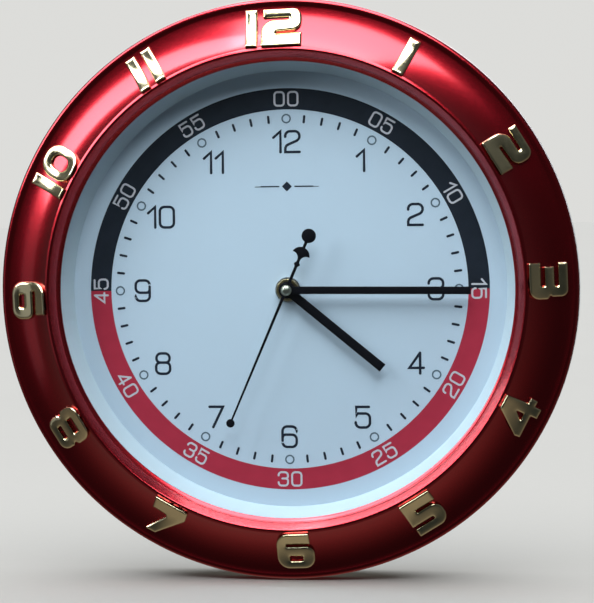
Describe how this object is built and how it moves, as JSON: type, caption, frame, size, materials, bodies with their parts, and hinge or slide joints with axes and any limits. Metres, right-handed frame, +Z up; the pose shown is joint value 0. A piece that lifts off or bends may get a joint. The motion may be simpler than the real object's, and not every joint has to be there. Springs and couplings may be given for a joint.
{
  "type": "wall clock",
  "caption": "Round quartz wall clock with a coved red front ring, raised gold hour numerals, three hands and a geared battery movement.",
  "frame": {"origin": "on the hands' axis, in the plane of the wall that the back of the case rests on", "axes": "+Z up, +X to the right as seen from the front, +Y into the wall; the dial faces -Y"},
  "size_m": [0.3, 0.0444, 0.3],
  "materials": {
    "red_ring": "metallic red paint under clear coat",
    "gold_numeral": "gold-coloured vacuum-plated plastic",
    "clear_glass": "clear flat glass",
    "white_spacer": "satin white plastic",
    "dial_print": "pale silver-white printed dial",
    "case_plastic": "moulded light plastic with a fine texture",
    "screw_steel": "zinc-plated steel",
    "black_hand": "satin black paint",
    "brass_fitting": "turned brass",
    "steel_washer": "bright steel",
    "black_rubber": "matt black rubber",
    "movement_plastic": "black moulded plastic with a fine texture",
    "gear_plastic": "natural white acetal",
    "plate_plastic": "natural plastic",
    "rotor_magnet": "dark sintered magnet",
    "knob_plastic": "red moulded plastic",
    "coil_copper": "enamelled copper winding",
    "stator_steel": "bare lamination steel",
    "board_green": "green solder mask",
    "crystal_can": "bright tin can",
    "battery_jacket": "plain printed sleeve",
    "contact_nickel": "nickel-plated spring steel"
  },
  "bodies": {
    "case": {"front_ring": "red_ring", "glass": "clear_glass", "spacer_ring": "white_spacer", "dial": "dial_print", "back_case": "case_plastic", "case_screws": "screw_steel", "numeral_1": "gold_numeral", "numeral_2": "gold_numeral", "numeral_3": "gold_numeral", "numeral_4": "gold_numeral", "numeral_5": "gold_numeral", "numeral_6": "gold_numeral", "numeral_7": "gold_numeral", "numeral_8": "gold_numeral", "numeral_9": "gold_numeral", "numeral_10": "gold_numeral", "numeral_11": "gold_numeral", "numeral_12": "gold_numeral", "centre_bush": "brass_fitting", "centre_nut": "brass_fitting", "dial_washer": "steel_washer", "rubber_washer": "black_rubber", "movement_housing": "movement_plastic", "movement_cover": "movement_plastic", "middle_plate": "plate_plastic", "coil": "coil_copper", "stator": "stator_steel", "circuit_board": "board_green", "crystal": "crystal_can", "battery": "battery_jacket", "contact_positive": "contact_nickel", "contact_negative": "contact_nickel"},
    "seconds": {"second_hand": "black_hand", "seconds_wheel": "gear_plastic"},
    "rotor_arbor": {"rotor": "rotor_magnet"},
    "fifth_arbor": {"fifth_wheel": "gear_plastic"},
    "third_arbor": {"third_wheel": "gear_plastic"},
    "centre_arbor": {"centre_wheel": "gear_plastic"},
    "minutes": {"minute_hand": "black_hand", "cannon_pinion": "brass_fitting"},
    "hours": {"hour_hand": "black_hand", "hour_wheel": "gear_plastic"},
    "motion_arbor": {"minute_wheel": "gear_plastic"},
    "knob": {"setting_knob": "knob_plastic"}
  },
  "joints": [
    {"name": "seconds_spin", "type": "hinge", "parent": "case", "child": "seconds", "pos_m": [0, -0.008, 0], "axis": [0, 1, 0], "continuous": true},
    {"name": "rotor_spin", "type": "hinge", "parent": "case", "child": "rotor_arbor", "pos_m": [-0.01172, -0.008, 0.0139], "axis": [0, 1, 0], "continuous": true},
    {"name": "fifth_spin", "type": "hinge", "parent": "case", "child": "fifth_arbor", "pos_m": [-0.00717, -0.008, 0.00602], "axis": [0, 1, 0], "continuous": true},
    {"name": "third_spin", "type": "hinge", "parent": "case", "child": "third_arbor", "pos_m": [0.00918, -0.009, 0], "axis": [0, 1, 0], "continuous": true},
    {"name": "centre_spin", "type": "hinge", "parent": "case", "child": "centre_arbor", "pos_m": [0, -0.011, 0], "axis": [0, 1, 0], "continuous": true},
    {"name": "minute_spin", "type": "hinge", "parent": "case", "child": "minutes", "pos_m": [0, -0.015, 0], "axis": [0, 1, 0], "continuous": true},
    {"name": "motion_spin", "type": "hinge", "parent": "case", "child": "motion_arbor", "pos_m": [0.0048, -0.015, 0.00831], "axis": [0, 1, 0], "continuous": true},
    {"name": "hour_spin", "type": "hinge", "parent": "case", "child": "hours", "pos_m": [0, -0.016, 0], "axis": [0, 1, 0], "continuous": true},
    {"name": "knob_spin", "type": "hinge", "parent": "case", "child": "knob", "pos_m": [0.0096, -0.015, 0.01663], "axis": [0, 1, 0], "continuous": true}
  ],
  "couplings": [
    {"joint": "rotor_spin", "follows": "seconds_spin", "ratio": 30},
    {"joint": "fifth_spin", "follows": "seconds_spin", "ratio": -5},
    {"joint": "third_spin", "follows": "seconds_spin", "ratio": -0.125},
    {"joint": "centre_spin", "follows": "seconds_spin", "ratio": 0.016667},
    {"joint": "motion_spin", "follows": "minute_spin", "ratio": -0.33333},
    {"joint": "hour_spin", "follows": "minute_spin", "ratio": 0.083333},
    {"joint": "knob_spin", "follows": "minute_spin", "ratio": 1}
  ]
}
